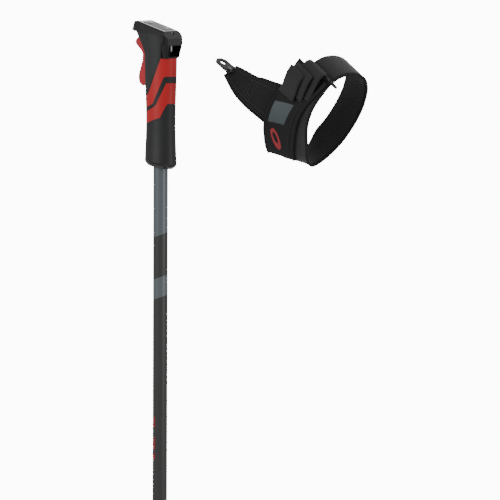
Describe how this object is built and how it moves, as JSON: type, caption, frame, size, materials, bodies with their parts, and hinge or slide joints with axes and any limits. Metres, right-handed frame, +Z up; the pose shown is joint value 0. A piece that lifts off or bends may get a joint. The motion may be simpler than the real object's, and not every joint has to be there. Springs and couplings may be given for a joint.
{
  "type": "ski pole",
  "caption": "Alpine ski pole with a trigger-release grip, slanted cap, basket and tip, and a detached padded wrist strap that clicks into the grip.",
  "frame": {"origin": "end of the steel tip, on the shaft's axis", "axes": "+Z up along the shaft to the grip, -X the trigger side, +X the side where the strap clicks in, Y sideways"},
  "size_m": [0.277, 0.1058, 1.2005],
  "materials": {
    "shaft_grey": "satin",
    "tip_steel": "brushed",
    "ferrule_plastic": "matte",
    "basket_plastic": "matte",
    "grip_rubber": "matte",
    "red_rubber": "satin",
    "panel_rubber": "matte",
    "core_plastic": "matte",
    "gloss_black": "gloss",
    "plate_grey": "satin",
    "screw_steel": "brushed",
    "trigger_red": "gloss",
    "spring_steel": "bright",
    "tongue_plastic": "satin",
    "strap_fabric": "woven",
    "webbing_fabric": "ribbed weave",
    "panel_fabric": "padded neoprene",
    "patch_grey": "reflective",
    "print_red": "printed",
    "ring_black": "satin"
  },
  "bodies": {
    "pole": {"shaft": "shaft_grey", "tip": "tip_steel", "ferrule": "ferrule_plastic", "basket": "basket_plastic", "basket_lock_ring": "basket_plastic", "grip_core": "core_plastic", "grip_lower": "grip_rubber", "grip_stripe": "grip_rubber", "panel_trim": "grip_rubber", "red_band_upper": "red_rubber", "red_band_lower": "red_rubber", "side_panel_left": "panel_rubber", "side_panel_right": "panel_rubber", "grip_end_ring": "gloss_black", "cap": "gloss_black", "cap_plate": "plate_grey", "cap_screws": "screw_steel", "strap_housing": "gloss_black", "trigger_pin": "screw_steel", "latch_spring": "spring_steel"},
    "trigger": {"trigger": "trigger_red"},
    "latch": {"latch": "screw_steel"},
    "strap": {"strap_tongue": "tongue_plastic", "tongue_rivets": "ring_black", "strap_wedge": "strap_fabric", "strap_band": "webbing_fabric", "hand_panel": "panel_fabric", "strap_patch": "patch_grey", "strap_badge": "print_red", "webbing_fold": "webbing_fabric", "wire_ring": "ring_black"}
  },
  "joints": [
    {"name": "trigger_squeeze", "type": "hinge", "parent": "pole", "child": "trigger", "pos_m": [-0.008, 0, 1.1805], "axis": [0, -1, 0], "range_deg": [0, 7], "stiffness_Nm_per_rad": 0.6, "springref_deg": -17.19},
    {"name": "latch_lift", "type": "slide", "parent": "pole", "child": "latch", "axis": [0, 0, 1], "range_m": [0, 0.0031], "deforming": ["latch_spring"]},
    {"name": "strap_click", "type": "slide", "parent": "pole", "child": "strap", "axis": [-0.9884, 0, 0.1518], "range_m": [0, 0.06981]}
  ],
  "couplings": [
    {"joint": "latch_lift", "follows": "trigger_squeeze", "m_per_rad": 0.0246}
  ]
}
